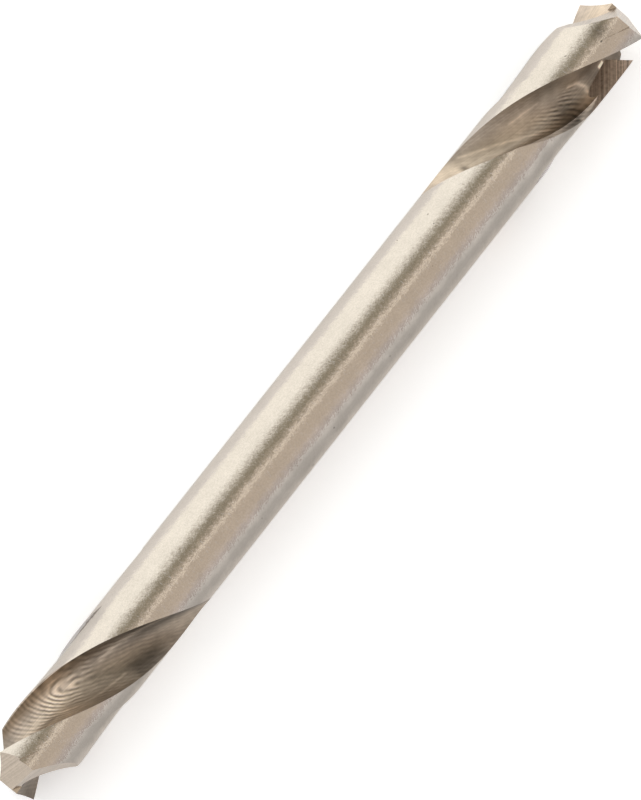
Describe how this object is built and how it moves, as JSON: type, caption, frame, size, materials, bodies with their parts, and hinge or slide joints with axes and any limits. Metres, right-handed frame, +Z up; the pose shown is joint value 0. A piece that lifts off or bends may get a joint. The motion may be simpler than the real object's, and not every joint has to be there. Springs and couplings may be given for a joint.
{
  "type": "double-ended twist drill bit",
  "caption": "Short twist drill with a cutting point and spiral flutes at both ends and a plain round shank between them",
  "frame": {"origin": "on the drill's axis, half way between the two chisel edges", "axes": "X runs along the drill's axis; +X leaves by the end that is farther away in the picture; +Z is up with the drill lying down"},
  "size_m": [0.062, 0.0052, 0.0052],
  "materials": {
    "ground_steel": "bare ground tool steel with a warm straw tint"
  },
  "bodies": {
    "root": {"drill_bit": "ground_steel"}
  },
  "joints": []
}
